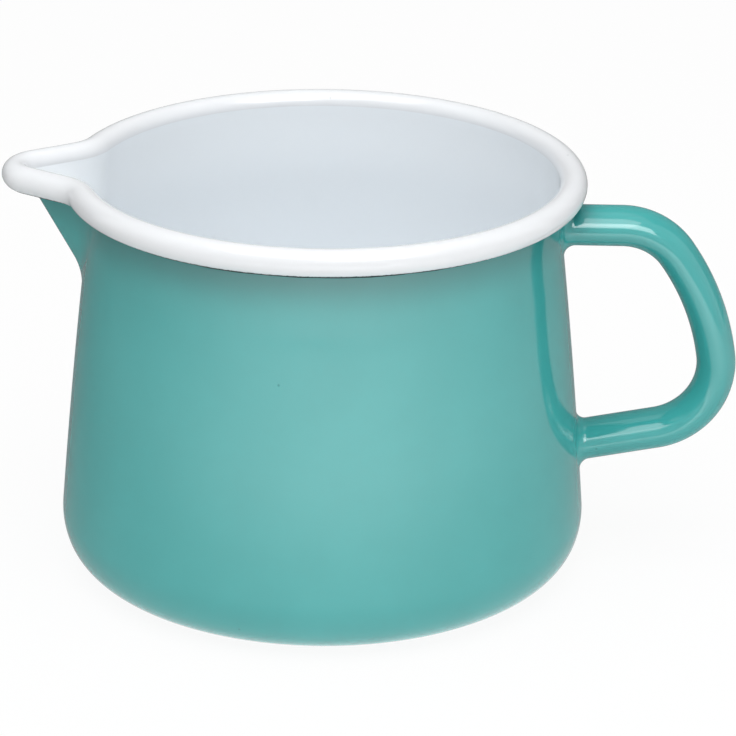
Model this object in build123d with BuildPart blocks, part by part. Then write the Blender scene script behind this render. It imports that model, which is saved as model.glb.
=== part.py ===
from build123d import *
from math import atan2, cos, degrees, hypot, radians, sin, sqrt, tan
import os

# A one-litre milk pan of enamelled steel: a drawn body with a beaked spout and a rolled rim,
# and one hollow handle that is welded to it at both ends.
# Lengths are in millimetres and angles in degrees. The Z axis is the axis of the round body,
# the base stands on Z = 0, the spout points along -X and the handle along +X.

# Sheet and coats: white and turquoise enamel lie over one dark ground coat on bare steel.
steel_thickness = 0.7
ground_thickness = 0.1
enamel_thickness = 0.15

# Body
opening_radius = 60.0
total_height = 107.8
belly_radius = 68.6
belly_height = 14.2
belly_bend_radius = 18.3
base_bend_radius = 12.4
wall_bow_radius = 1970.0
neck_height = 93.5
neck_bend_radius = 86.0

# Rolled rim: the sheet curls outward into a hollow bead, whose cut edge ends under it.
bead_radius = 3.5
curl_end_angle = -125.0
coat_end_angle = -170.0
rim_enamel_end_angle = -72.0
outside_enamel_start_angle = -79.0
nook_start_angle = -190.0
nook_end_angle = -100.0

# Spout, pressed out of the wall. Its plan is set at the middle of the bead.
spout_reach = 82.8
spout_tip_radius = 8.0
spout_flank_length = 12.1
spout_blend_radius = 13.0
spout_rake = 29.0
spout_root_blend = 4.8
spout_root_angle = 1.0
spout_level_shares = (0.1, 0.2, 0.3, 0.42, 0.55, 0.68, 0.8, 0.9, 1.0)

# Handle: a tube of oval section along straight arms and three bends
handle_width = 15.0
handle_thickness = 10.1
handle_end_radius = 3.6
handle_tube_thickness = 1.0
handle_height = 92.7
handle_upper_reach = 76.4
upper_bend_radius = 17.6
upper_bend_angle = 54.6
grip_bend_radius = 65.0
grip_bend_angle = 26.6
lower_bend_radius = 18.35
lower_arm_fall = 10.8

# Welds at the two feet of the handle, concave and running out onto the wall
upper_weld_radius = 3.4
lower_weld_radius = 2.8
weld_run_out_angle = 10.0
weld_toe_angle = 50.0

# Faces of the coats, as depths below the finished outside of the wall
ground_depth = enamel_thickness
steel_depth = ground_depth + ground_thickness
steel_inner_depth = steel_depth + steel_thickness
ground_inner_depth = steel_inner_depth + ground_thickness
wall_thickness = ground_inner_depth + enamel_thickness

# Places that follow from the sizes
neck_radius = opening_radius + wall_thickness
rim_height = total_height - bead_radius
bead_overhang = bead_radius - wall_thickness
steel_bead_radius = bead_radius - steel_depth
ground_bead_radius = bead_radius - ground_depth
handle_start = neck_radius - handle_width / 2


def meeting_point(first, first_distance, second, second_distance):
    """The point at these two distances from two points, on the left of the way from first to second."""
    span = hypot(second[0] - first[0], second[1] - first[1])
    along = (first_distance**2 - second_distance**2 + span**2) / (2 * span)
    across = sqrt(first_distance**2 - along**2)
    run = ((second[0] - first[0]) / span, (second[1] - first[1]) / span)
    return (first[0] + along * run[0] - across * run[1], first[1] + along * run[1] + across * run[0])


# Centres of the arcs of the body's half profile, as (radius, height)
belly_centre = (belly_radius - belly_bend_radius, belly_height)
base_centre_lift = belly_height - base_bend_radius
base_centre_step = sqrt((belly_bend_radius - base_bend_radius) ** 2 - base_centre_lift**2)
base_centre = (belly_centre[0] + base_centre_step, base_bend_radius)
neck_centre = (neck_radius + neck_bend_radius, neck_height)
wall_centre = meeting_point(
    belly_centre,
    wall_bow_radius - belly_bend_radius,
    neck_centre,
    wall_bow_radius + neck_bend_radius,
)

# Directions of the points where one arc of the half profile hands over to the next
corner_angle = degrees(atan2(base_centre[1] - belly_centre[1], base_centre[0] - belly_centre[0]))
shoulder_angle = degrees(atan2(belly_centre[1] - wall_centre[1], belly_centre[0] - wall_centre[0]))
neck_angle = degrees(atan2(neck_centre[1] - wall_centre[1], neck_centre[0] - wall_centre[0]))
neck_foot_height = wall_centre[1] + wall_bow_radius * sin(radians(neck_angle))


def wall_radius(height, depth):
    """Radius of the round wall at a height above the belly, this deep below the finished outside."""
    if height >= neck_height:
        return neck_radius - depth
    if height >= neck_foot_height:
        rise = height - neck_centre[1]
        return neck_centre[0] - sqrt((neck_bend_radius + depth) ** 2 - rise**2)
    rise = height - wall_centre[1]
    return wall_centre[0] + sqrt((wall_bow_radius - depth) ** 2 - rise**2)


# The spout's ridge is straight from the rim down to a blend with the wall above its root.
tip_radius = spout_tip_radius - bead_overhang
blend_radius = spout_blend_radius + bead_overhang
ridge_top = spout_reach - bead_radius - bead_overhang
ridge_slope = tan(radians(spout_rake))
ridge_foot_height = rim_height
for pass_number in range(30):
    ridge_foot_height = rim_height - (ridge_top - wall_radius(ridge_foot_height, 0)) / ridge_slope
blend_top_height = ridge_foot_height + spout_root_blend
root_height = ridge_foot_height - spout_root_blend


def ridge_rise(height):
    """How far the spout's ridge stands out of the round wall at a height."""
    if height >= blend_top_height:
        return ridge_top - ridge_slope * (rim_height - height) - wall_radius(height, 0)
    share = (height - root_height) / (blend_top_height - root_height)
    return ridge_rise(blend_top_height) * share**2


def blend_centre(half_angle, radius, rise, flank_length):
    """Centre of the arc that blends the spout's flank into the wall, as (out along the spout, aside)."""
    out = sin(radians(half_angle))
    aside = cos(radians(half_angle))
    reach = radius + rise - tip_radius + (tip_radius + blend_radius) * out - flank_length * aside
    return (reach, (tip_radius + blend_radius) * aside + flank_length * out)


def spout_plan(height):
    """Half angle of the spout's plan and the centre of its blend at a height; the plan opens downward."""
    radius = wall_radius(height, 0)
    rise = ridge_rise(height)
    flank_length = spout_flank_length * rise / ridge_rise(rim_height)
    sharp = 0.0
    blunt = 90.0
    for pass_number in range(50):
        half_angle = (sharp + blunt) / 2
        centre = blend_centre(half_angle, radius, rise, flank_length)
        if hypot(centre[0], centre[1]) < radius + blend_radius:
            sharp = half_angle
        else:
            blunt = half_angle
    return half_angle, centre


def wall_plan(height, depth):
    """The wall's plan at a height and depth: the round body, then a blend, a flank and the tip, and back."""
    radius = wall_radius(height, depth)
    inset = wall_radius(height, 0) - radius
    half_angle, centre = spout_plan(height)
    blend_angle = degrees(atan2(centre[1], centre[0]))
    blend_size = 90 - half_angle - blend_angle
    tip_centre = wall_radius(height, 0) + ridge_rise(height) - tip_radius
    arcs = (
        ((0, 0), radius, 90, 90 - blend_angle),
        ((-centre[0], centre[1]), blend_radius + inset, -blend_angle, -blend_size),
        ((-tip_centre, 0), tip_radius - inset, 90 + half_angle, 180 - 2 * half_angle),
        ((-centre[0], -centre[1]), blend_radius + inset, blend_angle + blend_size, -blend_size),
        ((0, 0), radius, 180 + blend_angle, 90 - blend_angle),
        ((0, 0), radius, 270, 180),
    )
    with BuildLine(Plane.XY.offset(height)):
        edges = [CenterArc(*arc, mode=Mode.PRIVATE) for arc in arcs]
        flanks = [Line(edges[i] @ 1, edges[i + 1] @ 0, mode=Mode.PRIVATE) for i in (1, 2)]
    return Wire(edges[:2] + flanks[:1] + edges[2:3] + flanks[1:] + edges[3:])


def root_plan(depth):
    """The round plan at the spout's root, in as many arcs as the plans above it have edges."""
    radius = wall_radius(root_height, depth)
    side = [90 - 3 * spout_root_angle]
    half_spout = [spout_root_angle] * 2
    steps = side + half_spout + [2 * spout_root_angle] + half_spout + side + [180]
    turns = [90 + sum(steps[:number]) for number in range(len(steps))]
    with BuildLine(Plane.XY.offset(root_height)):
        edges = []
        for turn, step in zip(turns, steps):
            edges.append(CenterArc((0, 0), radius, turn, step, mode=Mode.PRIVATE))
    return Wire(edges)


def wall_block(depth):
    """The pan up to the middle of its bead as one filled block, this deep below the finished outside."""
    with BuildPart() as block:
        with BuildSketch(Plane.XZ):
            with BuildLine():
                Line((0, depth), (base_centre[0], depth))
                CenterArc(base_centre, base_bend_radius - depth, -90, 90 + corner_angle)
                CenterArc(
                    belly_centre, belly_bend_radius - depth, corner_angle, shoulder_angle - corner_angle
                )
                rise = root_height - wall_centre[1]
                root_angle = degrees(atan2(rise, wall_radius(root_height, depth) - wall_centre[0]))
                wall = CenterArc(
                    wall_centre, wall_bow_radius - depth, shoulder_angle, root_angle - shoulder_angle
                )
                Line(wall @ 1, (0, root_height))
                Line((0, root_height), (0, depth))
            make_face()
        revolve(axis=Axis.Z)
        plans = [root_plan(depth)]
        for share in spout_level_shares:
            plans.append(wall_plan(root_height + share * (rim_height - root_height), depth))
        loft(sections=[Face(plan) for plan in plans])
    return block.part


# Filled blocks, one for each face of the coats: a coat is what one block holds more than the next.
finished_block = wall_block(0)
ground_block = wall_block(ground_depth)
steel_block = wall_block(steel_depth)
steel_inner_block = wall_block(steel_inner_depth)
ground_inner_block = wall_block(ground_inner_depth)
vessel_block = wall_block(wall_thickness)

# The bead follows the plan of the wall's top. Its section is drawn where the plan starts, at +Y.
bead_path = wall_plan(rim_height, -bead_overhang)
bead_plane = Plane(origin=(0, neck_radius + bead_overhang, rim_height), x_dir=(0, 1, 0), z_dir=(1, 0, 0))


def bead_ring(inner_radius, outer_radius, start_angle, end_angle):
    """A ring along the rim between two radii of the bead, from one angle to another; 0 points outward."""
    with BuildPart() as ring:
        with BuildSketch(bead_plane):
            with BuildLine():
                outer = CenterArc((0, 0), outer_radius, start_angle, end_angle - start_angle)
                inner = CenterArc((0, 0), inner_radius, start_angle, end_angle - start_angle)
                Line(outer @ 0, inner @ 0)
                Line(outer @ 1, inner @ 1)
            make_face()
        sweep(path=bead_path)
    return ring.part


def wall_coat(outer_block, inner_block, bead_bar_radius):
    """A coat on the outside of the wall; in the nook under the rim it ends at the bead's own coat."""
    nook = bead_ring(bead_overhang / 2, bead_bar_radius, nook_start_angle, nook_end_angle)
    with BuildPart() as coat:
        add(outer_block)
        add(inner_block, mode=Mode.SUBTRACT)
        add(nook, mode=Mode.SUBTRACT)
    return coat.part


# The handle's centre line lies in the XZ plane and starts and ends inside the wall.
with BuildLine(Plane.XZ) as handle_path:
    upper_arm = Line((handle_start, handle_height), (handle_upper_reach, handle_height))
    upper_bend = JernArc(upper_arm @ 1, upper_arm % 1, upper_bend_radius, -upper_bend_angle)
    grip = JernArc(upper_bend @ 1, upper_bend % 1, grip_bend_radius, -grip_bend_angle)
    lower_bend_angle = 180 - lower_arm_fall - upper_bend_angle - grip_bend_angle
    lower_bend = JernArc(grip @ 1, grip % 1, lower_bend_radius, -lower_bend_angle)
    lower_run = (lower_bend @ 1).X - handle_start
    lower_arm = Line(lower_bend @ 1, lower_bend @ 1 + (lower_bend % 1) * lower_run)

# The handle's oval section has two end arcs and two flatter flank arcs, all tangent.
oval_end_offset = handle_width / 2 - handle_end_radius
oval_half_thickness = handle_thickness / 2
oval_flank_radius = (oval_end_offset**2 + oval_half_thickness**2 - handle_end_radius**2) / (
    2 * (oval_half_thickness - handle_end_radius)
)
oval_flank_drop = oval_flank_radius - oval_half_thickness
oval_join_angle = degrees(atan2(oval_flank_drop, oval_end_offset))


def draw_oval(depth):
    """Draws the handle's section, this deep below the finished outside."""
    end_radius = handle_end_radius - depth
    flank_radius = oval_flank_radius - depth
    CenterArc((0, -oval_flank_drop), flank_radius, oval_join_angle, 180 - 2 * oval_join_angle)
    CenterArc((-oval_end_offset, 0), end_radius, 180 - oval_join_angle, 2 * oval_join_angle)
    CenterArc((0, oval_flank_drop), flank_radius, 180 + oval_join_angle, 180 - 2 * oval_join_angle)
    CenterArc((oval_end_offset, 0), end_radius, -oval_join_angle, 2 * oval_join_angle)


def handle_bar(depth):
    """The handle as a filled bar, this deep below the finished outside."""
    with BuildPart() as bar:
        with BuildSketch(Plane(origin=(handle_start, 0, handle_height), x_dir=(0, 1, 0), z_dir=(1, 0, 0))):
            with BuildLine():
                draw_oval(depth)
            make_face()
        sweep(path=handle_path.wire())
    return bar.part


def foot_plane(point, direction):
    """The plane across an arm where its centre line meets the steel wall, facing away from the pan."""
    height = point.Z
    for pass_number in range(30):
        radius = wall_radius(height, steel_depth)
        height = point.Z + (radius - point.X) * direction.Z / direction.X
    return Plane(origin=(radius, 0, height), x_dir=(0, 1, 0), z_dir=(abs(direction.X), 0, abs(direction.Z)))


upper_foot = foot_plane(upper_arm @ 1, upper_arm % 1)
lower_foot = foot_plane(lower_arm @ 0, lower_arm % 0)


def weld_ring(foot, weld_radius, cover):
    """A concave ring round an arm's foot, under a cover of this thickness; it runs into wall and arm."""
    join = radians(oval_join_angle)
    start_radius = handle_end_radius - steel_depth
    start = (oval_end_offset + start_radius * cos(join), start_radius * sin(join), 0)
    out = foot.x_dir * cos(join) + foot.y_dir * sin(join)
    section_plane = Plane(origin=foot.from_local_coords(start), x_dir=out, z_dir=out.cross(foot.z_dir))
    arc_radius = weld_radius - cover
    arc_centre = (weld_radius * cos(radians(weld_run_out_angle)), weld_radius)
    toe = radians(weld_toe_angle)
    root_depth = handle_width / 8
    with BuildPart() as ring:
        with BuildLine(foot) as oval:
            draw_oval(steel_depth)
        with BuildSketch(section_plane):
            with BuildLine():
                arc = CenterArc(arc_centre, arc_radius, 180, weld_toe_angle)
                toe_point = (arc_centre[0] - arc_radius * cos(toe), arc_centre[1] - arc_radius * sin(toe))
                run = toe_point[1] + root_depth
                root_point = (toe_point[0] + run * tan(toe), -root_depth)
                Line(toe_point, root_point)
                Line(root_point, (-handle_tube_thickness, -root_depth))
                Line((-handle_tube_thickness, -root_depth), (-handle_tube_thickness, weld_radius))
                Line((-handle_tube_thickness, weld_radius), (arc_centre[0] - arc_radius, weld_radius))
            make_face()
        sweep(path=oval.wire())
    return ring.part


def handle_block(depth):
    """The handle with its welds as one filled block, this deep below the finished outside."""
    with BuildPart() as block:
        add(handle_bar(depth))
        add(weld_ring(upper_foot, upper_weld_radius, steel_depth - depth))
        add(weld_ring(lower_foot, lower_weld_radius, steel_depth - depth))
    return block.part


finished_handle = handle_block(0)
ground_handle = handle_block(ground_depth)
steel_handle = handle_block(steel_depth)
steel_bar = handle_bar(steel_depth)

os.makedirs("parts", exist_ok=True)

# The drawn steel body, in one sheet with its spout and the curl of its rim
with BuildPart() as pan_shell:
    add(steel_block)
    add(steel_inner_block, mode=Mode.SUBTRACT)
    add(bead_ring(steel_bead_radius - steel_thickness, steel_bead_radius, curl_end_angle, 180))
pan_shell.part.label = "pan_shell"
export_step(pan_shell.part, "parts/pan_shell.step")

# The handle's hollow tube, cut at both ends to the wall that it stands on
with BuildPart() as handle_tube:
    add(steel_bar)
    add(handle_bar(steel_depth + handle_tube_thickness), mode=Mode.SUBTRACT)
    add(steel_block, mode=Mode.SUBTRACT)
handle_tube.part.label = "handle_tube"
export_step(handle_tube.part, "parts/handle_tube.step")

# The weld round the foot of the upper arm
with BuildPart() as upper_weld:
    add(weld_ring(upper_foot, upper_weld_radius, 0))
    add(steel_bar, mode=Mode.SUBTRACT)
    add(steel_block, mode=Mode.SUBTRACT)
upper_weld.part.label = "upper_weld"
export_step(upper_weld.part, "parts/upper_weld.step")

# The weld round the foot of the lower arm
with BuildPart() as lower_weld:
    add(weld_ring(lower_foot, lower_weld_radius, 0))
    add(steel_bar, mode=Mode.SUBTRACT)
    add(steel_block, mode=Mode.SUBTRACT)
lower_weld.part.label = "lower_weld"
export_step(lower_weld.part, "parts/lower_weld.step")

# The ground coat's side toward the inside of the body
with BuildPart() as ground_inner_coat:
    add(steel_inner_block)
    add(ground_inner_block, mode=Mode.SUBTRACT)

# The dark ground coat over both sides of the body, shut over the curl of the rim
with BuildPart() as body_ground_coat:
    add(bead_ring(steel_bead_radius, ground_bead_radius, coat_end_angle, 180))
    add(ground_block, mode=Mode.SUBTRACT)
    add(wall_coat(ground_block, steel_block, steel_bead_radius))
    add(ground_inner_coat.part)
    add(steel_handle, mode=Mode.SUBTRACT)
body_ground_coat.part.label = "body_ground_coat"
export_step(body_ground_coat.part, "parts/body_ground_coat.step")

# The dark ground coat over the handle and its welds
with BuildPart() as handle_ground_coat:
    add(ground_handle)
    add(steel_handle, mode=Mode.SUBTRACT)
    add(ground_block, mode=Mode.SUBTRACT)
handle_ground_coat.part.label = "handle_ground_coat"
export_step(handle_ground_coat.part, "parts/handle_ground_coat.step")

# White enamel over the inside of the body, up to the middle of the bead
with BuildPart() as inside_enamel:
    add(ground_inner_block)
    add(vessel_block, mode=Mode.SUBTRACT)
inside_enamel.part.label = "inside_enamel"
export_step(inside_enamel.part, "parts/inside_enamel.step")

# White enamel over the bead, from the inside of the body round to a ragged edge under the rim
with BuildPart() as rim_enamel:
    add(bead_ring(ground_bead_radius, bead_radius, rim_enamel_end_angle, 180))
rim_enamel.part.label = "rim_enamel"
export_step(rim_enamel.part, "parts/rim_enamel.step")

# Turquoise enamel under the flat of the base, which the pan stands on
with BuildPart() as base_enamel:
    with BuildSketch():
        Circle(base_centre[0])
    extrude(amount=ground_depth)
base_enamel.part.label = "base_enamel"
export_step(base_enamel.part, "parts/base_enamel.step")

# Turquoise enamel over the outside of the body, from under the bead down to the flat of the base
with BuildPart() as outside_enamel:
    add(bead_ring(ground_bead_radius, bead_radius, coat_end_angle, outside_enamel_start_angle))
    add(finished_block, mode=Mode.SUBTRACT)
    add(wall_coat(finished_block, ground_block, ground_bead_radius))
    add(base_enamel.part, mode=Mode.SUBTRACT)
    add(ground_handle, mode=Mode.SUBTRACT)
outside_enamel.part.label = "outside_enamel"
export_step(outside_enamel.part, "parts/outside_enamel.step")

# Turquoise enamel over the handle, down to the fine line where it meets the enamel of the body
with BuildPart() as handle_enamel:
    add(finished_handle)
    add(ground_handle, mode=Mode.SUBTRACT)
    add(finished_block, mode=Mode.SUBTRACT)
handle_enamel.part.label = "handle_enamel"
export_step(handle_enamel.part, "parts/handle_enamel.step")
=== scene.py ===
from math import acos, atan2, cos, hypot, pi, radians, sin, sqrt, tan

import bmesh
import bpy
import numpy as np
from bpy.props import FloatProperty, FloatVectorProperty, IntProperty, PointerProperty
from mathutils import Matrix, Vector


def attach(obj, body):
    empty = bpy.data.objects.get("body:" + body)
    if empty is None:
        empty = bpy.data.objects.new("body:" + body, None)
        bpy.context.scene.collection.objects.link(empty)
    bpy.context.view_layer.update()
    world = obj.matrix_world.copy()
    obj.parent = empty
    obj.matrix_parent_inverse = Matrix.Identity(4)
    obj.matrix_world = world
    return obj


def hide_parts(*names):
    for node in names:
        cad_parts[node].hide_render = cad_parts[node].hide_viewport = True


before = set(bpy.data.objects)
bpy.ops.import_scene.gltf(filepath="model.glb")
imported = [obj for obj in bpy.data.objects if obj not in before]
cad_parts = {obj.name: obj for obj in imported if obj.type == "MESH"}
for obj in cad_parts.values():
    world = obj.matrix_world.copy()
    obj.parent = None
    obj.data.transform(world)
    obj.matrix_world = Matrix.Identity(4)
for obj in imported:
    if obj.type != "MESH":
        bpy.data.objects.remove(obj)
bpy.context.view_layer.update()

bl_info = {
    "name": "Milk Pan",
    "version": (1, 0, 0),
    "blender": (4, 5, 0),
    "location": "View3D > Sidebar > Milk Pan",
    "description": "Dresses an enamelled steel milk pan with its coats, and lights it in a plain studio",
    "category": "Object",
}

# Directions round the axis, closest at the spout: where each sector ends, in degrees from the spout's ridge,
# and what share of the points it gets, as one in so many.
SECTOR_ENDS, SECTOR_SHARES = (0, 5, 18, 40, 180), (7, 6, 5, 2)
# How many rows of points lie along each stretch of the body, the bead and the handle.
SPOUT_ROWS, WALL_ROWS, BELLY_ROWS, BASE_BEND_ROWS = 56, 30, 22, 26
WHITE_ROWS, TURQUOISE_ROWS, UNDER_ROWS, LIP_ROWS, OVER_ROWS = 70, 26, 14, 15, 90
UPPER_ARM_ROWS, UPPER_BEND_ROWS, GRIP_ROWS, LOWER_BEND_ROWS, LOWER_ARM_ROWS = 10, 40, 34, 60, 12
WELD_ROWS, FLAT_POINTS, END_POINTS = 18, 34, 26
SHARP_ANGLE = radians(35)
BASE_SHARES = (1.0, 0.9, 0.7, 0.5, 0.3, 0.15, 0.05)
# How often each search halves its span or comes closer.
FOOT_PASSES, PLAN_PASSES, WALL_PASSES = 30, 50, 24
# How many waves run round the rim in its ragged edges, and what each edge adds to the seed.
WAVES = (3, 5, 9, 14, 23, 37, 52, 71)
WHITE_EDGE, TURQUOISE_EDGE, LIP_EDGE = 0, 7, 11

# The studio, in metres round the pan; a lamp's power is the setting of that name.
PAN_MIDDLE = (0.0, 0.0, 0.06)
LAMPS = {
    "key_box": {"place": (0.2, -0.79, 1.22), "aim": PAN_MIDDLE, "size": (1.1, 0.7), "power": "key_light"},
    "front_box": {"place": (0.5, -1.7, 0.75), "aim": PAN_MIDDLE, "size": (1.6, 1.1), "power": "front_light"},
    "top_box": {"place": (-0.1, -0.36, 1.27), "aim": PAN_MIDDLE, "size": (1.1, 1.1), "power": "top_light"},
    "gloss_strip": {
        "place": (0.455, -0.7, 1.075),
        "aim": (0.455, 0.0, 0.06),
        "size": (0.69, 0.85),
        "power": "gloss_light",
    },
}
# Cards bent round the pan: directions in degrees from +X, and edges as (distance from the axis, height).
LEFT_CARD = {"turns": (130, 225), "low_edge": (0.55, 0.0), "high_edge": (0.55, 0.4), "gloss_only": False}
BACK_CARD = {"turns": (20, 160), "low_edge": (0.7, 0.0), "high_edge": (0.7, 1.1), "gloss_only": True}
# The table card glows and only the gloss sees it: a painted reflection of the lit table.
TABLE = {"turns": (0, 360), "low_edge": (0.02, -0.0001), "high_edge": (0.69, -0.0001), "gloss_only": True}
CARD_POINTS, LEFT_CARD_SHADE, BACK_CARD_SHADE, PAPER_ROUGHNESS = 60, 0.03, 0.25, 0.95
FLOOR_HALF, FLOOR_HEIGHT, FLOOR_SHADES, FLOOR_ROUGHNESS = 6.0, -0.0002, (0.9, 0.92), 0.9
# The camera's sensor, in millimetres.
SENSOR_WIDTH = 36


def number(name, value, description):
    return FloatProperty(name=name, default=value, description=description, precision=5)


def length(name, value, description):
    return FloatProperty(name=name, default=value, description=description, unit="LENGTH", precision=5)


def angle(name, degree_value, description):
    return FloatProperty(name=name, default=radians(degree_value), description=description, subtype="ANGLE")


def spot(name, value, description):
    return FloatVectorProperty(name=name, default=value, description=description, subtype="XYZ")


def colour(name, value, description):
    return FloatVectorProperty(name=name, default=value, description=description, subtype="COLOR", size=3)


class BodySizes(bpy.types.PropertyGroup):
    opening_radius: length("Opening radius", 0.060, "Radius of the opening, inside the enamel")
    total_height: length("Total height", 0.1078, "Height of the bead's top over the base")
    belly_radius: length("Belly radius", 0.0686, "Largest radius of the body")
    belly_height: length("Belly height", 0.0142, "Height of the largest radius")
    belly_bend: length("Belly bend", 0.0183, "Radius of the bend at the belly")
    base_bend: length("Base bend", 0.0124, "Radius of the bend between belly and base")
    wall_bow: length("Wall bow", 1.970, "Radius of the wall's slight outward bow")
    neck_height: length("Neck height", 0.0935, "Height from which the wall is upright")
    neck_bend: length("Neck bend", 0.086, "Radius of the bend from the wall into the neck")
    steel_thickness: length("Steel", 0.0007, "Thickness of the sheet steel")
    ground_thickness: length("Ground coat", 0.0001, "Thickness of the dark ground coat")
    enamel_thickness: length("Enamel", 0.00015, "Thickness of the white and the turquoise enamel")
    around: IntProperty(name="Points around", default=170, min=20, description="Points along half the plan")


class RimSizes(bpy.types.PropertyGroup):
    bead_radius: length("Bead radius", 0.0035, "Radius of the rolled rim's section")
    white_end: angle("White ends at", -54.0, "Where the rim's white enamel ends under the bead")
    turquoise_start: angle("Turquoise starts at", -84.0, "Where the outside's turquoise enamel starts")
    ragged: angle("Raggedness", 3.0, "How far the edges of the enamel wander")
    tooth_height: length("Teeth", 0.0006, "Height of the fine teeth in the white's edge")
    # The next two settings paint a shade under the rim: the turquoise darkens toward black near it.
    faint_height: length("Painted rim shade height", 0.017, "How far below the rim the painted shade reaches")
    faint_share: number("Painted rim shade", 0.42, "How dark the painted shade under the rim gets")
    lip: length("Lip", 0.00036, "How far the curl's cut edge stands out of the bead, under its ground coat")
    lip_angle: angle("Lip's place", -66.0, "Where the curl's cut edge lies under the bead")
    lip_width: angle("Lip's width", 13.0, "Half the width of the curl's cut edge")
    seed: IntProperty(name="Seed", default=4, description="Seed of the ragged edges")


class SpoutSizes(bpy.types.PropertyGroup):
    reach: length("Reach", 0.0828, "Distance of the spout's tip from the body's axis")
    tip_radius: length("Tip radius", 0.008, "Radius of the tip at the middle of the bead")
    flank_length: length("Flank length", 0.0121, "Straight length of the spout's flank")
    blend_radius: length("Blend radius", 0.013, "Radius between flank and round body")
    rake: angle("Rake", 29.0, "Lean of the spout's ridge from upright")
    root_blend: length("Root blend", 0.0048, "Half height of the blend at the ridge's foot")


class HandleSizes(bpy.types.PropertyGroup):
    width: length("Width", 0.015, "Width of the oval tube, across the pan")
    thickness: length("Thickness", 0.0101, "Thickness of the oval tube")
    end_radius: length("End radius", 0.0036, "Radius at the two ends of the oval")
    height: length("Height", 0.0927, "Height of the upper arm's middle")
    upper_reach: length("Upper reach", 0.0764, "Where the upper arm starts to bend")
    upper_bend: length("Upper bend", 0.0176, "Radius of the upper bend")
    upper_turn: angle("Upper turn", 54.6, "Turn of the upper bend")
    grip_bend: length("Grip bend", 0.065, "Radius of the grip's bow")
    grip_turn: angle("Grip turn", 26.6, "Turn of the grip")
    lower_bend: length("Lower bend", 0.01835, "Radius of the lower bend")
    lower_fall: angle("Lower arm's fall", 10.8, "Slope of the lower arm toward the wall")
    upper_weld: length("Upper weld", 0.0034, "Radius of the weld at the upper arm")
    lower_weld: length("Lower weld", 0.0028, "Radius of the weld at the lower arm")
    weld_toe: angle("Weld toe", 84.0, "Turn of the weld's hollow from the arm to the wall")


class Finishes(bpy.types.PropertyGroup):
    # One white enamel in two copies, painted light: the inside's copy is brighter and bluer to lift the
    # shade inside the pan, and the rim's copy is darker where the top light falls full on it.
    inside_white: colour("Inside white", (0.924, 0.964, 0.996), "The white enamel on the inside")
    rim_white: colour("Rim white", (0.85, 0.868, 0.89), "The white enamel on the rim")
    turquoise: colour("Turquoise", (0.062, 0.41, 0.4), "The turquoise enamel")
    turquoise_thin: colour("Thin turquoise", (0.057, 0.39, 0.38), "The turquoise enamel where it lies thin")
    ground: colour("Ground coat", (0.006, 0.022, 0.022), "The dark ground coat")
    steel: colour("Steel", (0.31, 0.31, 0.3), "The bare steel under the coats")
    gloss: number("Roughness", 0.07, "Roughness of the enamel")
    ripple: length("Ripple", 0.00002, "Height of the enamel's faint waves")
    pit_share: number("Pits", 0.05, "Radius of the enamel's pits, as a share of their spacing")


class StudioSettings(bpy.types.PropertyGroup):
    lens: number("Lens", 171.2, "Focal length of the camera in millimetres")
    distance: length("Camera distance", 0.91455, "Distance of the camera from its target")
    elevation: angle("Camera elevation", 21.927, "Height of the camera over the table, as an angle")
    turn: angle("Camera turn", 0.8, "Turn of the camera round the upright axis")
    roll: angle("Camera roll", 0.769, "Tilt of the camera about its own axis")
    target: spot("Target", (0.011556, 0.0, 0.051885), "Point the camera looks at")
    world_light: number("Surroundings", 0.47, "Light of the white surroundings")
    key_light: number("Key light", 2.3, "Power of the box over the front")
    front_light: number("Front light", 1.2, "Power of the large box in front")
    top_light: number("Top light", 11.4, "Power of the box over the pan")
    gloss_light: number("Gloss light", 10.5, "Power of the strip that only the gloss shows")
    table_front: number("Table in front", 2.92, "Light of the table in the gloss, in front")
    table_back: number("Table behind", 0.22, "Light of the table in the gloss, behind")
    table_turn: angle("Table's turn", 10.0, "How far the table's brightest side is turned to the right")
    shadow_share: number("Shadow", 0.07, "How strongly the floor shows the shadow")


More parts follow.
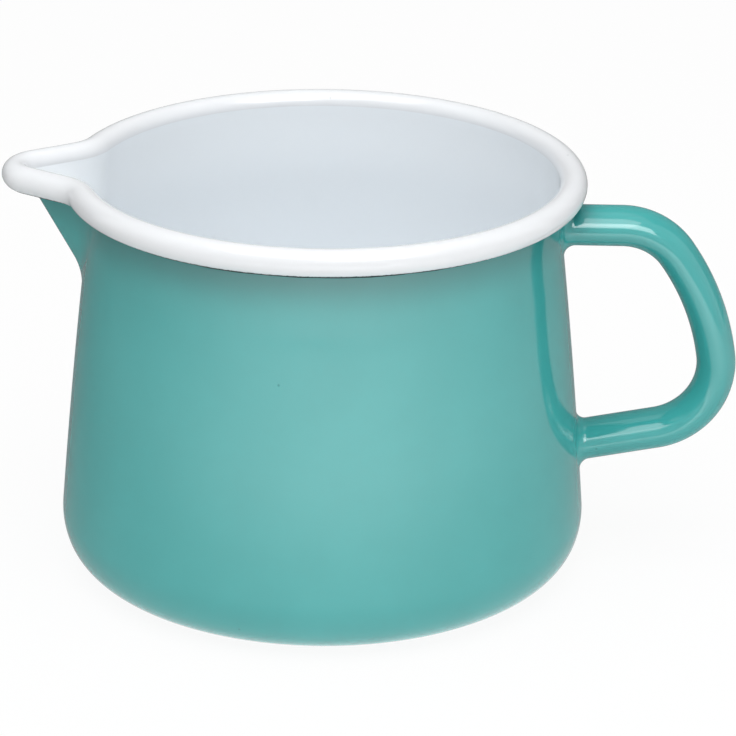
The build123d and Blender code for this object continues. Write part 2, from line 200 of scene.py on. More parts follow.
class Body:
    """The body's form: its half profile, and its plan with the spout, at any depth below the outside."""

    def __init__(self, sizes, rim, spout):
        self.sizes, self.rim, self.spout = sizes, rim, spout
        self.ground_depth = sizes.enamel_thickness
        self.steel_depth = self.ground_depth + sizes.ground_thickness
        self.steel_inner_depth = self.steel_depth + sizes.steel_thickness
        self.ground_inner_depth = self.steel_inner_depth + sizes.ground_thickness
        self.thickness = self.ground_inner_depth + sizes.enamel_thickness
        self.neck_radius = sizes.opening_radius + self.thickness
        self.rim_height = sizes.total_height - rim.bead_radius
        self.overhang = rim.bead_radius - self.thickness
        self.place_arcs()
        self.place_spout()
        sectors = []
        for start, end, share in zip(SECTOR_ENDS, SECTOR_ENDS[1:], SECTOR_SHARES):
            last = end == SECTOR_ENDS[-1]
            sectors.append(np.linspace(radians(start), radians(end), sizes.around // share, endpoint=last))
        half = np.concatenate(sectors)
        self.away = np.concatenate([half, -half[-2:0:-1]])

    def place_arcs(self):
        s = self.sizes
        self.belly = (s.belly_radius - s.belly_bend, s.belly_height)
        lift = s.belly_height - s.base_bend
        self.base = (self.belly[0] + sqrt((s.belly_bend - s.base_bend) ** 2 - lift**2), s.base_bend)
        self.neck = (self.neck_radius + s.neck_bend, s.neck_height)
        first, second = s.wall_bow - s.belly_bend, s.wall_bow + s.neck_bend
        across, up = self.neck[0] - self.belly[0], self.neck[1] - self.belly[1]
        span = hypot(across, up)
        along = (first**2 - second**2 + span**2) / (2 * span)
        aside = sqrt(first**2 - along**2)
        self.wall = (
            self.belly[0] + (along * across - aside * up) / span,
            self.belly[1] + (along * up + aside * across) / span,
        )
        self.corner_angle = atan2(self.base[1] - self.belly[1], self.base[0] - self.belly[0])
        self.shoulder_angle = atan2(self.belly[1] - self.wall[1], self.belly[0] - self.wall[0])
        neck_angle = atan2(self.neck[1] - self.wall[1], self.neck[0] - self.wall[0])
        self.neck_foot = self.wall[1] + s.wall_bow * sin(neck_angle)

    def wall_radius(self, height, depth):
        s = self.sizes
        if height >= s.neck_height:
            return self.neck_radius - depth
        if height >= self.neck_foot:
            return self.neck[0] - sqrt((s.neck_bend + depth) ** 2 - (height - self.neck[1]) ** 2)
        return self.wall[0] + sqrt((s.wall_bow - depth) ** 2 - (height - self.wall[1]) ** 2)

    def place_spout(self):
        p = self.spout
        self.tip_radius = p.tip_radius - self.overhang
        self.blend_radius = p.blend_radius + self.overhang
        self.ridge_top = p.reach - self.rim.bead_radius - self.overhang
        foot = self.rim_height
        for pass_number in range(FOOT_PASSES):
            foot = self.rim_height - (self.ridge_top - self.wall_radius(foot, 0)) / tan(p.rake)
        self.blend_top = foot + p.root_blend
        self.root = foot - p.root_blend
        self.plans = {}

    def ridge_rise(self, height):
        """How far the spout's ridge stands out of the round wall."""
        if height >= self.blend_top:
            below_rim = self.rim_height - height
            return self.ridge_top - tan(self.spout.rake) * below_rim - self.wall_radius(height, 0)
        share = (height - self.root) / (self.blend_top - self.root)
        return self.ridge_rise(self.blend_top) * share**2

    def plan(self, height):
        """The spout's half angle, the middle of its blend and of its tip at a height."""
        if height not in self.plans:
            radius, rise = self.wall_radius(height, 0), self.ridge_rise(height)
            flank = self.spout.flank_length * rise / self.ridge_rise(self.rim_height)
            arms = self.tip_radius + self.blend_radius
            sharp, blunt = 0.0, pi / 2
            tip = radius + rise - self.tip_radius
            for pass_number in range(PLAN_PASSES):
                half = (sharp + blunt) / 2
                out, aside = sin(half), cos(half)
                middle = (tip + arms * out - flank * aside, arms * aside + flank * out)
                if hypot(*middle) < radius + self.blend_radius:
                    sharp = half
                else:
                    blunt = half
            self.plans[height] = (half, middle, tip)
        return self.plans[height]

    def reach(self, height, depth):
        """Distance from the axis to the wall in every direction of the mesh, at a height and depth."""
        radius = self.wall_radius(height, depth)
        far = np.full(len(self.away), radius)
        if height <= self.root + 1e-6:
            return far
        inset = self.wall_radius(height, 0) - radius
        half, middle, tip = self.plan(height)
        tip_radius, blend_radius = self.tip_radius - inset, self.blend_radius + inset
        out, aside = sin(half), cos(half)
        away = np.abs(self.away)
        tip_end = atan2(tip_radius * aside, tip + tip_radius * out)
        flank_end = atan2(middle[1] - blend_radius * aside, middle[0] - blend_radius * out)
        blend_end = atan2(middle[1], middle[0])
        run = (np.cos(away), np.sin(away))
        on_tip, on_flank = away <= tip_end, (away > tip_end) & (away < flank_end)
        on_blend = (away >= flank_end) & (away < blend_end)
        tip_far = tip * run[0] + np.sqrt(np.maximum(tip_radius**2 - (tip * run[1]) ** 2, 0))
        flank_far = (tip * out + tip_radius) / (run[0] * out + run[1] * aside)
        near = middle[0] * run[0] + middle[1] * run[1]
        square = blend_radius**2 - (middle[0] ** 2 + middle[1] ** 2 - near**2)
        blend_far = near - np.sqrt(np.maximum(square, 0))
        return np.select([on_tip, on_flank, on_blend], [tip_far, flank_far, blend_far], far)

    def ring(self, reach, height):
        """Points round the pan at these distances from its axis; the spout lies along -X."""
        level = np.broadcast_to(height, reach.shape)
        return np.stack([-reach * np.cos(self.away), reach * np.sin(self.away), level], axis=1)

    def bead_ring(self, radius, turn):
        """A ring on the bead, at this radius of its section and this angle, or one angle for each point."""
        turn = np.broadcast_to(turn, self.away.shape)
        depths = -(self.overhang + radius * np.cos(turn)) * np.ones(len(self.away))
        if np.ptp(depths) < 1e-9:
            reach = self.reach(self.rim_height, depths[0])
        else:
            low, high = depths.min(), depths.max()
            share = (depths - low) / (high - low)
            reach = self.reach(self.rim_height, low) * (1 - share)
            reach = reach + self.reach(self.rim_height, high) * share
        return self.ring(reach, self.rim_height + radius * np.sin(turn))

    def bead_rings(self, radius, start, end, steps):
        """Rings from one angle to another; either angle may wander along the rim."""
        shares = np.linspace(0, 1, steps)
        return [self.bead_ring(radius, start * (1 - share) + end * share) for share in shares]

    def wall_rings(self, depth, top):
        """Rings down the wall from a height, round the belly and the bend, to the middle of the base."""
        return self.side_rings(depth, top) + self.base_rings(depth)

    def base_rings(self, depth):
        """Rings on the flat of the base, and its middle."""
        rows = []
        for share in BASE_SHARES:
            rows.append(self.ring(np.full(len(self.away), self.base[0] * share), depth))
        return rows + [np.array([0.0, 0.0, depth])]

    def side_rings(self, depth, top):
        """Rings down the wall from a height and round the belly, down to the flat of the base."""
        s = self.sizes
        shoulder = self.wall[1] + (s.wall_bow - depth) * sin(self.shoulder_angle)
        heights = np.concatenate(
            [
                np.linspace(top, self.root, SPOUT_ROWS, endpoint=False),
                np.linspace(self.root, shoulder, WALL_ROWS, endpoint=False),
            ]
        )
        rows = [self.ring(self.reach(float(height), depth), height) for height in heights]
        for centre, bend, start, end, steps in (
            (self.belly, s.belly_bend - depth, self.shoulder_angle, self.corner_angle, BELLY_ROWS),
            (self.base, s.base_bend - depth, self.corner_angle, -pi / 2, BASE_BEND_ROWS),
        ):
            for turn in np.linspace(start, end, steps, endpoint=False):
                reach = np.full(len(self.away), centre[0] + bend * cos(turn))
                rows.append(self.ring(reach, centre[1] + bend * sin(turn)))
        return rows

    def lip_rings(self, radius):
        """Rings over the curl's cut edge, which stands out of the bead by an amount that wanders."""
        rim, wander_share = self.rim, 0.38
        height = rim.lip * (1 - wander_share + wander_share * self.wandering(LIP_EDGE))
        rows = []
        for share in np.linspace(-1, 1, LIP_ROWS):
            crest = radius + height * cos(share * pi / 2) ** 2
            rows.append(self.bead_ring(crest, rim.lip_angle + share * rim.lip_width))
        return rows

    def nook_angle(self, radius, depth):
        """Where a circle of the bead meets the wall's face at this depth, under the rim."""
        return -acos(-(self.overhang + depth) / radius)

    def wandering(self, offset):
        """An angle for each direction round the pan that wanders a little, closed round the rim."""
        chance = np.random.default_rng(self.rim.seed + offset)
        total = np.zeros(len(self.away))
        for waves in WAVES:
            wave = np.cos(waves * self.away + chance.uniform(0, 2 * pi))
            total += wave * chance.uniform(0.4, 1.0) / sqrt(waves)
        return total / np.abs(total).max()


class Handle:
    """The handle's form: an oval section along two arms and three bends, with welds at its feet."""

    def __init__(self, sizes, body):
        self.sizes, self.body = sizes, body
        self.offset = sizes.width / 2 - sizes.end_radius
        half = sizes.thickness / 2
        self.flank = (self.offset**2 + half**2 - sizes.end_radius**2) / (2 * (half - sizes.end_radius))
        self.drop = self.flank - half
        self.join = atan2(self.drop, self.offset)
        self.trace()

    def trace(self):
        """Stations of the centre line, as points and directions in the XZ plane."""
        s = self.sizes
        start = self.body.neck_radius - s.width / 2
        point, heading = np.array([start, s.height]), 0.0
        self.upper_foot = (self.foot_point(point, heading), heading)
        last_turn = pi - s.lower_fall - s.upper_turn - s.grip_turn
        point = np.array([s.upper_reach, s.height])
        self.stations = []
        for bend, turn, steps in (
            (s.upper_bend, s.upper_turn, UPPER_BEND_ROWS),
            (s.grip_bend, s.grip_turn, GRIP_ROWS),
            (s.lower_bend, last_turn, LOWER_BEND_ROWS),
        ):
            middle = point - bend * np.array([sin(heading), cos(heading)])
            for share in np.linspace(0, 1, steps, endpoint=False):
                now = heading + turn * share
                self.stations.append((middle + bend * np.array([sin(now), cos(now)]), now))
            heading += turn
            point = middle + bend * np.array([sin(heading), cos(heading)])
        self.stations.append((point, heading))
        self.lower_foot = (self.foot_point(point, heading), heading)

    def foot_point(self, point, heading):
        """Where a straight arm's centre line meets the steel wall."""
        height = point[1]
        for pass_number in range(FOOT_PASSES):
            radius = self.body.wall_radius(height, self.body.steel_depth)
            height = point[1] - (radius - point[0]) * tan(heading)
        return np.array([radius, height])

    def oval(self, depth):
        """Points and outward directions of the section, as (aside, up), this deep below the outside."""
        s, points, outward = self.sizes, [], []
        for centre, radius, start, size, steps in (
            ((0, -self.drop), self.flank - depth, self.join, pi - 2 * self.join, FLAT_POINTS),
            ((-self.offset, 0), s.end_radius - depth, pi - self.join, 2 * self.join, END_POINTS),
            ((0, self.drop), self.flank - depth, pi + self.join, pi - 2 * self.join, FLAT_POINTS),
            ((self.offset, 0), s.end_radius - depth, -self.join, 2 * self.join, END_POINTS),
        ):
            for share in np.linspace(0, 1, steps, endpoint=False):
                turn = start + size * share
                points.append((centre[0] + radius * cos(turn), centre[1] + radius * sin(turn)))
                outward.append((cos(turn), sin(turn)))
        return np.array(points), np.array(outward)

    def section(self, point, heading, depth):
        """The oval round one station."""
        points = self.oval(depth)[0]
        upward = np.array([sin(heading), 0, cos(heading)])
        middle = np.array([point[0], 0, point[1]])
        return middle + points[:, :1] * np.array([0, 1, 0]) + points[:, 1:] * upward

    def weld_rows(self, foot, weld_radius, depth):
        """Rows of points from the arm down the concave weld to the wall."""
        s, body = self.sizes, self.body
        (radius, height), heading = foot
        away = 1 if cos(heading) > 0 else -1
        along = np.array([cos(heading), 0, -sin(heading)]) * away
        upward = np.array([sin(heading), 0, cos(heading)])
        points, outward = self.oval(body.steel_depth)
        middle = np.array([radius, 0, height])
        aside = np.array([0, 1, 0])
        base = middle + points[:, :1] * aside + points[:, 1:] * upward
        out = outward[:, :1] * aside + outward[:, 1:] * upward
        cover, last_share = body.steel_depth - depth, 0.8
        rows = []
        for turn in np.linspace(0, s.weld_toe, WELD_ROWS):
            spot = base + out * (weld_radius - (weld_radius - cover) * cos(turn))
            rise = self.wall_rise(spot, along) + weld_radius - (weld_radius - cover) * sin(turn)
            rows.append(spot + along * rise)
        spot = base + out * weld_radius
        rows.append(spot + along * (self.wall_rise(spot, along) + cover * last_share))
        return rows

    def wall_rise(self, spots, along):
        """How far along an arm the steel wall lies from each of these points."""
        low, high = np.full(len(spots), -self.sizes.width), np.full(len(spots), self.sizes.width)
        for pass_number in range(WALL_PASSES):
            middle = (low + high) / 2
            tries = spots + along * middle[:, None]
            wall = [self.body.wall_radius(height, self.body.steel_depth) for height in tries[:, 2]]
            inside = np.hypot(tries[:, 0], tries[:, 1]) < wall
            low, high = np.where(inside, middle, low), np.where(inside, high, middle)
        return low[:, None]

    def weld_ring(self, foot, weld_radius):
        """Rows of the steel weld alone, down its hollow and back at its root."""
        depth = self.body.steel_depth
        hollow = self.weld_rows(foot, weld_radius, depth)
        return hollow + [self.weld_rows(foot, 0.0, depth)[0]]

    def rows(self, depth):
        """Rows from the wall, up the upper weld, along the handle and down the lower weld to the wall."""
        s = self.sizes
        first = self.weld_rows(self.upper_foot, s.upper_weld, depth)
        last = self.weld_rows(self.lower_foot, s.lower_weld, depth)
        rows = first[::-1]
        rows += self.arm_rows(self.upper_foot, s.upper_weld, self.stations[0], depth, UPPER_ARM_ROWS)
        rows += [self.section(point, heading, depth) for point, heading in self.stations]
        lower_arm = self.arm_rows(self.lower_foot, s.lower_weld, self.stations[-1], depth, LOWER_ARM_ROWS)
        return rows + lower_arm[::-1] + last

    def arm_rows(self, foot, weld_radius, station, depth, steps):
        """Rows along a straight arm, between its weld and its bend."""
        span = station[0] - foot[0]
        start = weld_radius / np.hypot(*span)
        shares = np.linspace(start, 1, steps, endpoint=False)[1:]
        return [self.section(foot[0] + span * share, station[1], depth) for share in shares]


def skin(name, rows):
    """A closed mesh through rows of points, joined in a loop; a row may be a single point."""
    points, starts, faces = [], [], []
    for row in rows:
        starts.append((len(points), 1 if row.ndim == 1 else len(row)))
        points.extend([row] if row.ndim == 1 else row)
    for number in range(len(rows)):
        first, first_size = starts[number]
        second, second_size = starts[(number + 1) % len(rows)]
        for i in range(max(first_size, second_size)):
            j = i + 1
            if first_size == 1 and second_size == 1:
                continue
            if first_size == 1:
                faces.append((first, second + j % second_size, second + i))
            elif second_size == 1:
                faces.append((first + i, first + j % first_size, second))
            else:
                faces.append((first + i, first + j % first_size, second + j % second_size, second + i))
    mesh = bpy.data.meshes.new(name)
    mesh.from_pydata([tuple(point) for point in points], [], faces)
    work = bmesh.new()
    work.from_mesh(mesh)
    bmesh.ops.recalc_face_normals(work, faces=work.faces)
    work.to_mesh(mesh)
    work.free()
    mesh.shade_smooth()
    mesh.set_sharp_from_angle(angle=SHARP_ANGLE)
    piece = bpy.data.objects.new(name, mesh)
    bpy.context.scene.collection.objects.link(piece)
    return piece


def place(piece, material, slot, *nodes):
    """Gives a piece its material and its place among the nodes of the pan."""
    piece.data.materials.append(material)
    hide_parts(*nodes)
    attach(piece, "root")


class Value:
    """A number that varies over a surface; arithmetic on it adds Math nodes."""

    def __init__(self, recipe, socket):
        self.recipe, self.socket = recipe, socket

    def combine(self, operation, first, second):
        return self.recipe.node("ShaderNodeMath", {"operation": operation}, {0: first, 1: second}).value(0)

    def __add__(self, other):
        return self.combine("ADD", self, other)

    def __radd__(self, other):
        return self.combine("ADD", other, self)

    def __sub__(self, other):
        return self.combine("SUBTRACT", self, other)

    def __rsub__(self, other):
        return self.combine("SUBTRACT", other, self)

    def __mul__(self, other):
        return self.combine("MULTIPLY", self, other)

    def __pow__(self, other):
        return self.combine("POWER", self, other)

    def __gt__(self, other):
        return self.combine("GREATER_THAN", self, other)

    def between(self, low, high):
        """0 below low, 1 above high, and a smooth way between them."""
        settings = {"interpolation_type": "SMOOTHSTEP"}
        inputs = {"Value": self, "From Min": low, "From Max": high}
        return self.recipe.node("ShaderNodeMapRange", settings, inputs).value("Result")


class Node:
    """A node of a recipe and its outputs."""

    def __init__(self, recipe, node):
        self.recipe, self.node = recipe, node

    def value(self, output):
        return Value(self.recipe, self.node.outputs[output])


class Recipe:
    """One material or world in the making."""

    def __init__(self, owner):
        self.owner = owner
        owner.use_nodes = True
        self.tree = owner.node_tree
        self.tree.nodes.clear()

    def node(self, kind, settings=None, inputs=None):
        node = self.tree.nodes.new(kind)
        for name, value in (settings or {}).items():
            setattr(node, name, value)
        for name, value in (inputs or {}).items():
            self.feed(node.inputs[name], value)
        return Node(self, node)

    def feed(self, socket, value):
        if isinstance(value, Value):
            self.tree.links.new(value.socket, socket)
        else:
            socket.default_value = value

    def noise(self, size, detail=2.0):
        """A cloudy value from 0 to 1 with patches of about this size in metres, fixed to the pan."""
        place_on_pan = self.node("ShaderNodeTexCoord").value("Object")
        inputs = {"Vector": place_on_pan, "Scale": 1 / size, "Detail": detail, "Roughness": 0.5}
        return self.node("ShaderNodeTexNoise", None, inputs).value("Fac")

    def height(self):
        """Height over the base, in metres."""
        place_on_pan = self.node("ShaderNodeTexCoord").value("Object")
        return self.node("ShaderNodeSeparateXYZ", None, {"Vector": place_on_pan}).value("Z")

    def specks(self, spacing, radius):
        """1 in rare round specks, 0 elsewhere; spacing in metres and radius as a share of it."""
        place_on_pan = self.node("ShaderNodeTexCoord").value("Object")
        cells = self.node("ShaderNodeTexVoronoi", None, {"Vector": place_on_pan, "Scale": 1 / spacing})
        near = 1 - cells.value("Distance").between(radius * 0.5, radius)
        chance = self.node("ShaderNodeSeparateColor", None, {"Color": cells.value("Color")}).value("Red")
        rare = 0.8
        return near * (chance > rare)

    def vector(self, operation, *inputs):
        return self.node("ShaderNodeVectorMath", {"operation": operation}, dict(enumerate(inputs)))

    def mix(self, share, first, second):
        inputs = {"Factor": share, 6: first, 7: second}
        return self.node("ShaderNodeMix", {"data_type": "RGBA"}, inputs).value(2)

    def bump(self, height):
        """The surface's direction under a relief whose height is in metres."""
        inputs = {"Height": height, "Distance": 1.0, "Strength": 1.0}
        return self.node("ShaderNodeBump", None, inputs).value("Normal")

    def finish(self, shader, output="ShaderNodeOutputMaterial"):
        self.node(output, None, {"Surface": shader})
        return self.owner


def rgba(colour_value, factor=1.0):
    return (*[channel * factor for channel in colour_value], 1.0)


def enamel(name, settings, thick, thin, bare=None, faint=None):
    """Glass fused to steel: even colour that thins a little in places, a faint ripple and a few small pits.

    Below the height of bare, which is (height, spread, colour), the enamel has run off in fine teeth.
    Between the heights of faint, which is (low, high, share), the colour is darkened toward black upward: a
    painted shade under the rim.
    """
    cloud_size, pit_spacing, tooth_size = 0.02, 0.009, 0.0009
    wave_size, peel_size, haze_size = 0.006, 0.0012, 0.004
    cloud_low, cloud_high, haze_share, glass_ior = 0.3, 0.75, 0.5, 1.52
    pit_depth, pit_tone, pit_shade, peel_share, tooth_blur = 0.00006, 0.35, 0.45, 0.12, 0.08
    recipe = Recipe(bpy.data.materials.new(name))
    cloud = recipe.noise(cloud_size, detail=3.0)
    pit = recipe.specks(pit_spacing, settings.pit_share)
    tone = recipe.mix(cloud.between(cloud_low, cloud_high), rgba(thin), rgba(thick))
    shade = recipe.mix(pit * pit_tone, tone, rgba(thin, pit_shade))
    if faint:
        # Painted shade under the rim: the colour darkens toward black up to the rim's height.
        low, high, share = faint
        shade = recipe.mix(recipe.height().between(low, high) * share, shade, rgba((0, 0, 0)))
    if bare:
        height, spread, under = bare
        above = recipe.height() + (recipe.noise(tooth_size) - 0.5) * spread
        blur = spread * tooth_blur
        shade = recipe.mix(above.between(height - blur, height + blur), rgba(under), shade)
    peel = recipe.noise(peel_size, detail=1.0) * (settings.ripple * peel_share)
    waves = recipe.noise(wave_size, detail=1.0) * settings.ripple + peel - pit * pit_depth
    inputs = {
        "Base Color": shade,
        "Roughness": settings.gloss + recipe.noise(haze_size) * (settings.gloss * haze_share),
        "IOR": glass_ior,
        "Normal": recipe.bump(waves),
    }
    return recipe.finish(recipe.node("ShaderNodeBsdfPrincipled", None, inputs).value("BSDF"))


def ground_coat(name, settings):
    """The dark ground coat, a little rough where it is not covered."""
    grain_size, grain_height, dark, light = 0.0008, 0.00003, 0.6, 1.6
    smooth, rough_span, shine = 0.45, 0.3, 0.2
    recipe = Recipe(bpy.data.materials.new(name))
    grain = recipe.noise(grain_size, detail=3.0)
    inputs = {
        "Base Color": recipe.mix(grain, rgba(settings.ground, dark), rgba(settings.ground, light)),
        "Roughness": smooth + grain * rough_span,
        "Specular IOR Level": shine,
        "Normal": recipe.bump(grain * grain_height),
    }
    return recipe.finish(recipe.node("ShaderNodeBsdfPrincipled", None, inputs).value("BSDF"))


def bare_steel(name, settings):
    """Drawn sheet steel, pickled matt before it was coated."""
    grain_size, grain_height, dark, light = 0.0006, 0.00001, 0.8, 1.2
    smooth, rough_span = 0.4, 0.25
    recipe = Recipe(bpy.data.materials.new(name))
    grain = recipe.noise(grain_size, detail=4.0)
    inputs = {
        "Base Color": recipe.mix(grain, rgba(settings.steel, dark), rgba(settings.steel, light)),
        "Metallic": 1.0,
        "Roughness": smooth + grain * rough_span,
        "Normal": recipe.bump(grain * grain_height),
    }
    return recipe.finish(recipe.node("ShaderNodeBsdfPrincipled", None, inputs).value("BSDF"))


def body_form():
    scene = bpy.context.scene
    return Body(scene.pan_body, scene.pan_rim, scene.pan_spout)


class PAN_OT_inside(bpy.types.Operator):
    """Adds the white enamel on the inside of the body"""

    bl_idname = "milk_pan.inside"
    bl_label = "White Inside"

    def execute(self, context):
        body, settings = body_form(), context.scene.pan_finishes
        rows = body.wall_rings(body.thickness, body.rim_height)
        rows += body.wall_rings(body.ground_inner_depth, body.rim_height)[::-1]
        material = enamel("inside_white", settings, settings.inside_white, settings.inside_white)
        place(skin("white_inside", rows), material, "white_enamel", "inside_enamel")
        return {"FINISHED"}


class PAN_OT_rim(bpy.types.Operator):
    """Adds the white enamel over the rolled rim, with its ragged edge below"""

    bl_idname = "milk_pan.rim"
    bl_label = "White Rim"

    def execute(self, context):
        body, rim, settings = body_form(), context.scene.pan_rim, context.scene.pan_finishes
        end = rim.white_end + body.wandering(WHITE_EDGE) * rim.ragged
        outer = body.bead_rings(rim.bead_radius, end, pi, WHITE_ROWS)
        inner = body.bead_rings(rim.bead_radius - body.ground_depth, end, pi, WHITE_ROWS)
        edge = body.rim_height + rim.bead_radius * sin(rim.white_end + rim.ragged)
        bare = (edge, rim.tooth_height, settings.ground)
        material = enamel("rim_white", settings, settings.rim_white, settings.rim_white, bare)
        place(skin("white_rim", outer + inner[::-1]), material, "white_enamel", "rim_enamel")
        return {"FINISHED"}


class PAN_OT_outside(bpy.types.Operator):
    """Adds the turquoise enamel on the outside of the body"""

    bl_idname = "milk_pan.outside"
    bl_label = "Turquoise Outside"

    def execute(self, context):
        body, rim, settings = body_form(), context.scene.pan_rim, context.scene.pan_finishes
        start = rim.turquoise_start + body.wandering(TURQUOISE_EDGE) * rim.ragged / 2
        rows = []
        for depth in (0.0, body.ground_depth):
            radius = rim.bead_radius - depth
            nook = body.nook_angle(radius, -depth)
            face = body.bead_rings(radius, start, nook, TURQUOISE_ROWS)
            face += body.side_rings(depth, body.rim_height + radius * sin(nook))[1:]
            face += body.base_rings(depth)[:1]
            rows += face if depth == 0 else face[::-1]
        # A painted shade under the rim, darkest right below it.
        faint = (body.rim_height - rim.faint_height, body.rim_height, rim.faint_share)
        colours = (settings.turquoise, settings.turquoise_thin)
        material = enamel("fused_turquoise", settings, *colours, faint=faint)
        place(skin("turquoise_outside", rows), material, "turquoise_enamel", "outside_enamel")
        base = body.base_rings(0.0) + body.base_rings(body.ground_depth)[::-1]
        place(skin("turquoise_base", base), material, "turquoise_enamel", "base_enamel")
        return {"FINISHED"}


class PAN_OT_handle(bpy.types.Operator):
    """Adds the turquoise enamel over the handle and its welds, and the ground coat under it"""

    bl_idname = "milk_pan.handle"
    bl_label = "Handle"

    def execute(self, context):
        body = body_form()
        handle, settings = Handle(context.scene.pan_handle, body), context.scene.pan_finishes
        rows = handle.rows(0.0) + handle.rows(body.ground_depth)[::-1]
        material = enamel("handle_turquoise", settings, settings.turquoise, settings.turquoise_thin)
        place(skin("turquoise_handle", rows), material, "turquoise_enamel", "handle_enamel")
        return {"FINISHED"}


class PAN_OT_ground(bpy.types.Operator):
    """Adds the dark ground coat of the body, which shows as a line under the rim"""

    bl_idname = "milk_pan.ground"
    bl_label = "Ground Coat"

    def execute(self, context):
        body, rim = body_form(), context.scene.pan_rim
        rows = []
        for outer, inner in (
            (body.ground_depth, body.ground_inner_depth),
            (body.steel_depth, body.steel_inner_depth),
        ):
            radius = rim.bead_radius - outer
            nook = body.nook_angle(radius, -outer)
            up = body.wall_rings(outer, body.rim_height + radius * sin(nook))[:0:-1]
            over = body.bead_rings(radius, nook, rim.lip_angle - rim.lip_width, UNDER_ROWS)[:-1]
            over += body.lip_rings(radius)
            over += body.bead_rings(radius, rim.lip_angle + rim.lip_width, pi, OVER_ROWS)[1:]
            face = up + over + body.wall_rings(inner, body.rim_height)[1:]
            rows += face if outer == body.ground_depth else face[::-1]
        material = ground_coat("dark_ground", context.scene.pan_finishes)
        place(skin("ground_line", rows), material, "ground_enamel", "body_ground_coat")
        return {"FINISHED"}


class PAN_OT_steel(bpy.types.Operator):
    """Adds the welds and the handle's ground coat, and gives the covered steel its material"""

    bl_idname = "milk_pan.steel"
    bl_label = "Covered Pieces"

    def execute(self, context):
        steel = bare_steel("pickled_steel", context.scene.pan_finishes)
        for name in ("pan_shell", "handle_tube"):
            self.dress(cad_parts[name], steel)
        body, sizes = body_form(), context.scene.pan_handle
        handle = Handle(sizes, body)
        above = handle.weld_ring(handle.upper_foot, sizes.upper_weld)
        below = handle.weld_ring(handle.lower_foot, sizes.lower_weld)
        place(skin("weld_above", above), steel, "steel", "upper_weld")
        place(skin("weld_below", below), steel, "steel", "lower_weld")
        rows = handle.rows(body.ground_depth) + handle.rows(body.steel_depth)[::-1]
        ground = bpy.data.materials["dark_ground"]
        place(skin("handle_ground", rows), ground, "ground_enamel", "handle_ground_coat")
        return {"FINISHED"}

    def dress(self, node, material):
        for slot in node.material_slots:
            slot.material = material


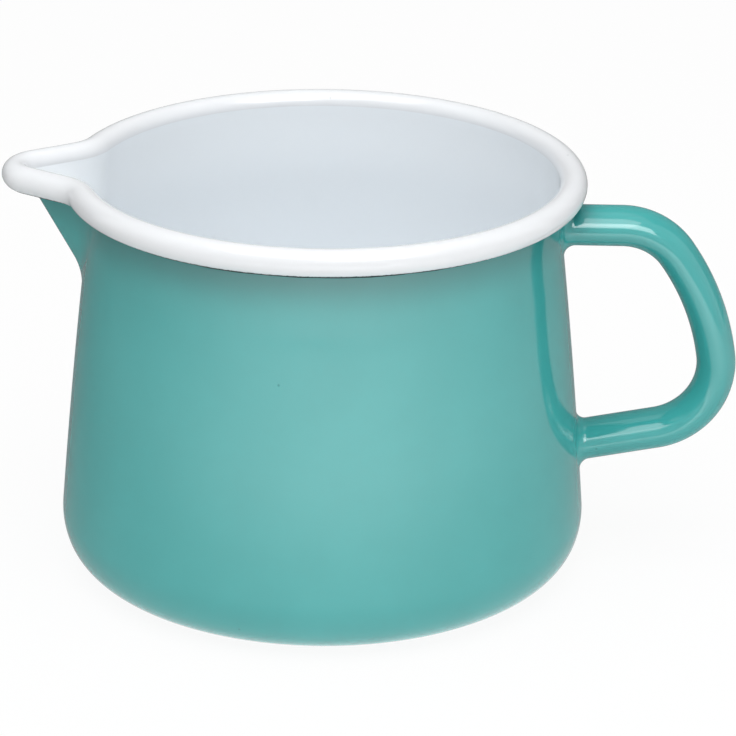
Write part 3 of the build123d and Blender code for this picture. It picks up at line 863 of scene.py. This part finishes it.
class PAN_OT_studio(bpy.types.Operator):
    """Adds the floor, the white surroundings, the lamps and the camera"""

    bl_idname = "milk_pan.studio"
    bl_label = "Studio"

    def execute(self, context):
        scene, settings = context.scene, context.scene.pan_studio
        scene.view_settings.view_transform = "Standard"
        self.add_floor(settings)
        self.add_world(scene, settings)
        for name, lamp in LAMPS.items():
            self.add_lamp(name, getattr(settings, lamp["power"]), lamp)
        bpy.data.objects["gloss_strip"].visible_diffuse = False
        self.add_card("left_card", self.paper("dark_paper", LEFT_CARD_SHADE), **LEFT_CARD)
        self.add_card("back_card", self.paper("grey_paper", BACK_CARD_SHADE), **BACK_CARD)
        self.add_card("table_gloss", self.bright_table(settings), **TABLE)
        self.add_camera(scene, settings)
        return {"FINISHED"}

    def white_seen(self, recipe):
        """1 for what the camera sees straight, in a mirror or through glass."""
        path, other = recipe.node("ShaderNodeLightPath"), 1.0
        for kind in ("Is Camera Ray", "Is Glossy Ray", "Is Transmission Ray"):
            other = (1 - path.value(kind)) * other
        return 1 - other

    def add_floor(self, settings):
        recipe = Recipe(bpy.data.materials.new("floor_paper"))
        grain_size = 0.05
        dark, light = [rgba((shade, shade, shade)) for shade in FLOOR_SHADES]
        shade = recipe.mix(recipe.noise(grain_size), dark, light)
        paper = {"Base Color": shade, "Roughness": FLOOR_ROUGHNESS}
        matt = recipe.node("ShaderNodeBsdfPrincipled", None, paper).value("BSDF")
        bright = recipe.node("ShaderNodeEmission", None, {"Color": rgba((1, 1, 1)), "Strength": 1.0})
        share = self.white_seen(recipe) * (1 - settings.shadow_share)
        seen = recipe.node("ShaderNodeMixShader", None, {0: share, 1: matt, 2: bright.value("Emission")})
        material = recipe.finish(seen.value(0))
        mesh = bpy.data.meshes.new("floor")
        half = FLOOR_HALF
        corners = [(-half, -half, 0), (half, -half, 0), (half, half, 0), (-half, half, 0)]
        mesh.from_pydata(corners, [], [(0, 1, 2, 3)])
        floor = bpy.data.objects.new("floor", mesh)
        floor.location.z = FLOOR_HEIGHT
        mesh.materials.append(material)
        bpy.context.scene.collection.objects.link(floor)

    def add_world(self, scene, settings):
        scene.world = bpy.data.worlds.new("studio")
        recipe = Recipe(scene.world)
        seen = self.white_seen(recipe)
        strength = seen + (1 - seen) * settings.world_light
        inputs = {"Color": rgba((1, 1, 1)), "Strength": strength}
        light = recipe.node("ShaderNodeBackground", None, inputs)
        recipe.finish(light.value("Background"), "ShaderNodeOutputWorld")

    def paper(self, name, shade):
        """Plain matt paper."""
        recipe = Recipe(bpy.data.materials.new(name))
        grain_size, dark, light = 0.01, 0.9, 1.1
        grey, grain = (shade, shade, shade), recipe.noise(grain_size)
        inputs = {"Base Color": recipe.mix(grain, rgba(grey, dark), rgba(grey, light))}
        inputs["Roughness"] = PAPER_ROUGHNESS
        return recipe.finish(recipe.node("ShaderNodeBsdfPrincipled", None, inputs).value("BSDF"))

    def bright_table(self, settings):
        """A glowing card that only the gloss sees, a painted reflection of the lit table: brightest in front
        of the pan, grey behind it, and darker close to it as a painted shadow of the pan.
        """
        near, far, near_share, falloff = 0.06, 0.3, 0.44, 1.9
        recipe = Recipe(bpy.data.materials.new("bright_table"))
        spot_on_table = recipe.node("ShaderNodeTexCoord").value("Object")
        bearing = recipe.vector("NORMALIZE", spot_on_table).value("Vector")
        brightest = (sin(settings.table_turn), -cos(settings.table_turn), 0)
        facing = recipe.vector("DOT_PRODUCT", bearing, brightest).value("Value")
        away = recipe.vector("LENGTH", spot_on_table).value("Value")
        # Painted shadow of the pan: the glow drops close to its foot.
        share = ((facing + 1) * 0.5) ** falloff * (near_share + away.between(near, far) * (1 - near_share))
        grey = rgba((1, 1, 1), settings.table_back / settings.table_front)
        inputs = {
            "Base Color": rgba((0, 0, 0)),
            "Emission Color": recipe.mix(share, grey, rgba((1, 1, 1))),
            "Emission Strength": settings.table_front,
        }
        return recipe.finish(recipe.node("ShaderNodeBsdfPrincipled", None, inputs).value("BSDF"))

    def add_card(self, name, material, turns, low_edge, high_edge, gloss_only):
        """A card bent round the pan, unseen by the camera; edges are (distance from the axis, height)."""
        points = []
        for far, height in (low_edge, high_edge):
            for turn in np.radians(np.linspace(*turns, CARD_POINTS)):
                points.append((far * cos(turn), far * sin(turn), height))
        faces = [(n, n + 1, n + 1 + CARD_POINTS, n + CARD_POINTS) for n in range(CARD_POINTS - 1)]
        mesh = bpy.data.meshes.new(name)
        mesh.from_pydata(points, [], faces)
        mesh.materials.append(material)
        card = bpy.data.objects.new(name, mesh)
        card.visible_camera = False
        if gloss_only:
            card.visible_diffuse = card.visible_shadow = False
        else:
            card.visible_glossy = False
        bpy.context.scene.collection.objects.link(card)

    def add_lamp(self, name, power, lamp):
        light = bpy.data.lights.new(name, "AREA")
        light.shape = "RECTANGLE"
        light.size, light.size_y = lamp["size"]
        light.energy = power
        holder = bpy.data.objects.new(name, light)
        holder.location = lamp["place"]
        sight = Vector(lamp["aim"]) - Vector(lamp["place"])
        holder.rotation_euler = sight.to_track_quat("-Z", "Y").to_euler()
        bpy.context.scene.collection.objects.link(holder)

    def add_camera(self, scene, settings):
        camera = bpy.data.cameras.new("camera")
        camera.lens = settings.lens
        camera.sensor_width = SENSOR_WIDTH
        holder = bpy.data.objects.new("camera", camera)
        right = Vector((1, 0, 0))
        forward = Vector((0, cos(settings.elevation), -sin(settings.elevation)))
        upward = right.cross(forward)
        tilted_right = right * cos(settings.roll) + upward * sin(settings.roll)
        tilted_up = upward * cos(settings.roll) - right * sin(settings.roll)
        spot = Vector(settings.target) - forward * settings.distance
        axes = Matrix((tilted_right, tilted_up, -forward)).transposed().to_4x4()
        axes.translation = spot
        holder.matrix_world = Matrix.Rotation(settings.turn, 4, "Z") @ axes
        scene.collection.objects.link(holder)
        scene.camera = holder


class PAN_PT_sidebar(bpy.types.Panel):
    """Lists the steps that dress the pan"""

    bl_idname = "PAN_PT_sidebar"
    bl_label = "Milk Pan"
    bl_space_type = "VIEW_3D"
    bl_region_type = "UI"
    bl_category = "Milk Pan"

    def draw(self, context):
        for operator in OPERATORS:
            self.layout.operator(operator.bl_idname)


OPERATORS = (
    PAN_OT_inside,
    PAN_OT_rim,
    PAN_OT_outside,
    PAN_OT_handle,
    PAN_OT_ground,
    PAN_OT_steel,
    PAN_OT_studio,
)
GROUPS = {
    "pan_body": BodySizes,
    "pan_rim": RimSizes,
    "pan_spout": SpoutSizes,
    "pan_handle": HandleSizes,
    "pan_finishes": Finishes,
    "pan_studio": StudioSettings,
}


def register():
    for group in GROUPS.values():
        bpy.utils.register_class(group)
    for kind in (*OPERATORS, PAN_PT_sidebar):
        bpy.utils.register_class(kind)
    for name, group in GROUPS.items():
        setattr(bpy.types.Scene, name, PointerProperty(type=group))


def unregister():
    for name in GROUPS:
        delattr(bpy.types.Scene, name)
    for kind in (PAN_PT_sidebar, *reversed(OPERATORS)):
        bpy.utils.unregister_class(kind)
    for group in GROUPS.values():
        bpy.utils.unregister_class(group)


def main():
    register()
    bpy.ops.milk_pan.inside()
    bpy.ops.milk_pan.rim()
    bpy.ops.milk_pan.outside()
    bpy.ops.milk_pan.handle()
    bpy.ops.milk_pan.ground()
    bpy.ops.milk_pan.steel()
    bpy.ops.milk_pan.studio()


if __name__ == "__main__":
    main()
